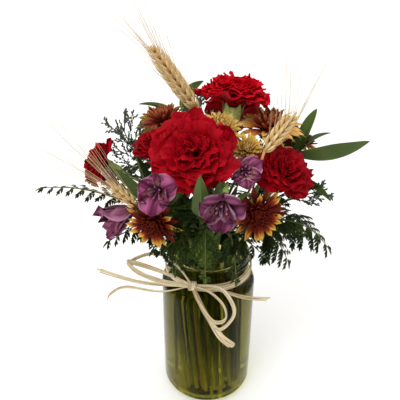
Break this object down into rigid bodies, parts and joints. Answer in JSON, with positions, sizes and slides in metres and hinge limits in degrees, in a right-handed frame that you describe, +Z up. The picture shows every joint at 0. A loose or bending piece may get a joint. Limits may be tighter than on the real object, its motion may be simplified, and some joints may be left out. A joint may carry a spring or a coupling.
{
  "type": "cut flower arrangement",
  "caption": "Mixed cut flowers, wheat, fern and foliage standing in a wide-mouth glass jar of water with a raffia bow.",
  "frame": {"origin": "centre of the jar's flat base, on the surface that it stands on", "axes": "+Z up along the jar's axis, -Y towards the front, where the bow is tied, +X to the right seen from the front"},
  "size_m": [0.2823, 0.2315, 0.4186],
  "materials": {
    "glass": "clear olive-green pressed glass",
    "water": "clear water, tinted by the glass round it",
    "raffia": "dry raffia, satin and fibrous",
    "carnation": "red fringed petals",
    "chrysanthemum": "bronze and burgundy florets with gold tips and backs",
    "alstroemeria": "purple tepals, streaked darker",
    "straw": "dry wheat straw",
    "stem": "fresh green stem",
    "leaf": "glossy dark green leaf",
    "fern": "satin deep green fern",
    "lavender": "matt grey-green twigs and buds"
  },
  "bodies": {
    "root": {"alstroemeria_centre_bloom": "alstroemeria", "alstroemeria_front_bloom": "alstroemeria", "alstroemeria_half_open_bloom": "alstroemeria", "alstroemeria_left_stem": "stem", "alstroemeria_low_bloom": "alstroemeria", "alstroemeria_right_stem": "stem", "alstroemeria_upper_bloom": "alstroemeria", "carnation_back_petals": "carnation", "carnation_back_stem": "stem", "carnation_front_petals": "carnation", "carnation_front_stem": "stem", "carnation_left_petals": "carnation", "carnation_left_stem": "stem", "carnation_right_petals": "carnation", "carnation_right_stem": "stem", "carnation_shy_petals": "carnation", "carnation_shy_stem": "stem", "carnation_top_petals": "carnation", "carnation_top_stem": "stem", "chrysanthemum_back_left_florets": "chrysanthemum", "chrysanthemum_back_right_florets": "chrysanthemum", "chrysanthemum_back_stem": "stem", "chrysanthemum_crest_florets": "chrysanthemum", "chrysanthemum_high_florets": "chrysanthemum", "chrysanthemum_left_florets": "chrysanthemum", "chrysanthemum_left_stem": "stem", "chrysanthemum_low_left_florets": "chrysanthemum", "chrysanthemum_low_left_stem": "stem", "chrysanthemum_low_right_florets": "chrysanthemum", "chrysanthemum_low_right_stem": "stem", "chrysanthemum_middle_florets": "chrysanthemum", "chrysanthemum_right_stem": "stem", "chrysanthemum_side_florets": "chrysanthemum", "fern_back": "fern", "fern_back_left": "fern", "fern_back_right": "fern", "fern_front": "fern", "fern_front_left": "fern", "fern_front_right": "fern", "fern_left": "fern", "fern_left_low": "fern", "fern_right": "fern", "fern_right_front": "fern", "fern_right_low": "fern", "foliage_back": "leaf", "foliage_right": "leaf", "jar": "glass", "raffia_bow": "raffia", "sea_lavender_back": "lavender", "sea_lavender_left": "lavender", "sea_lavender_right": "lavender", "water": "water", "wheat_left": "straw", "wheat_right": "straw", "wheat_tall": "straw"}
  },
  "joints": []
}
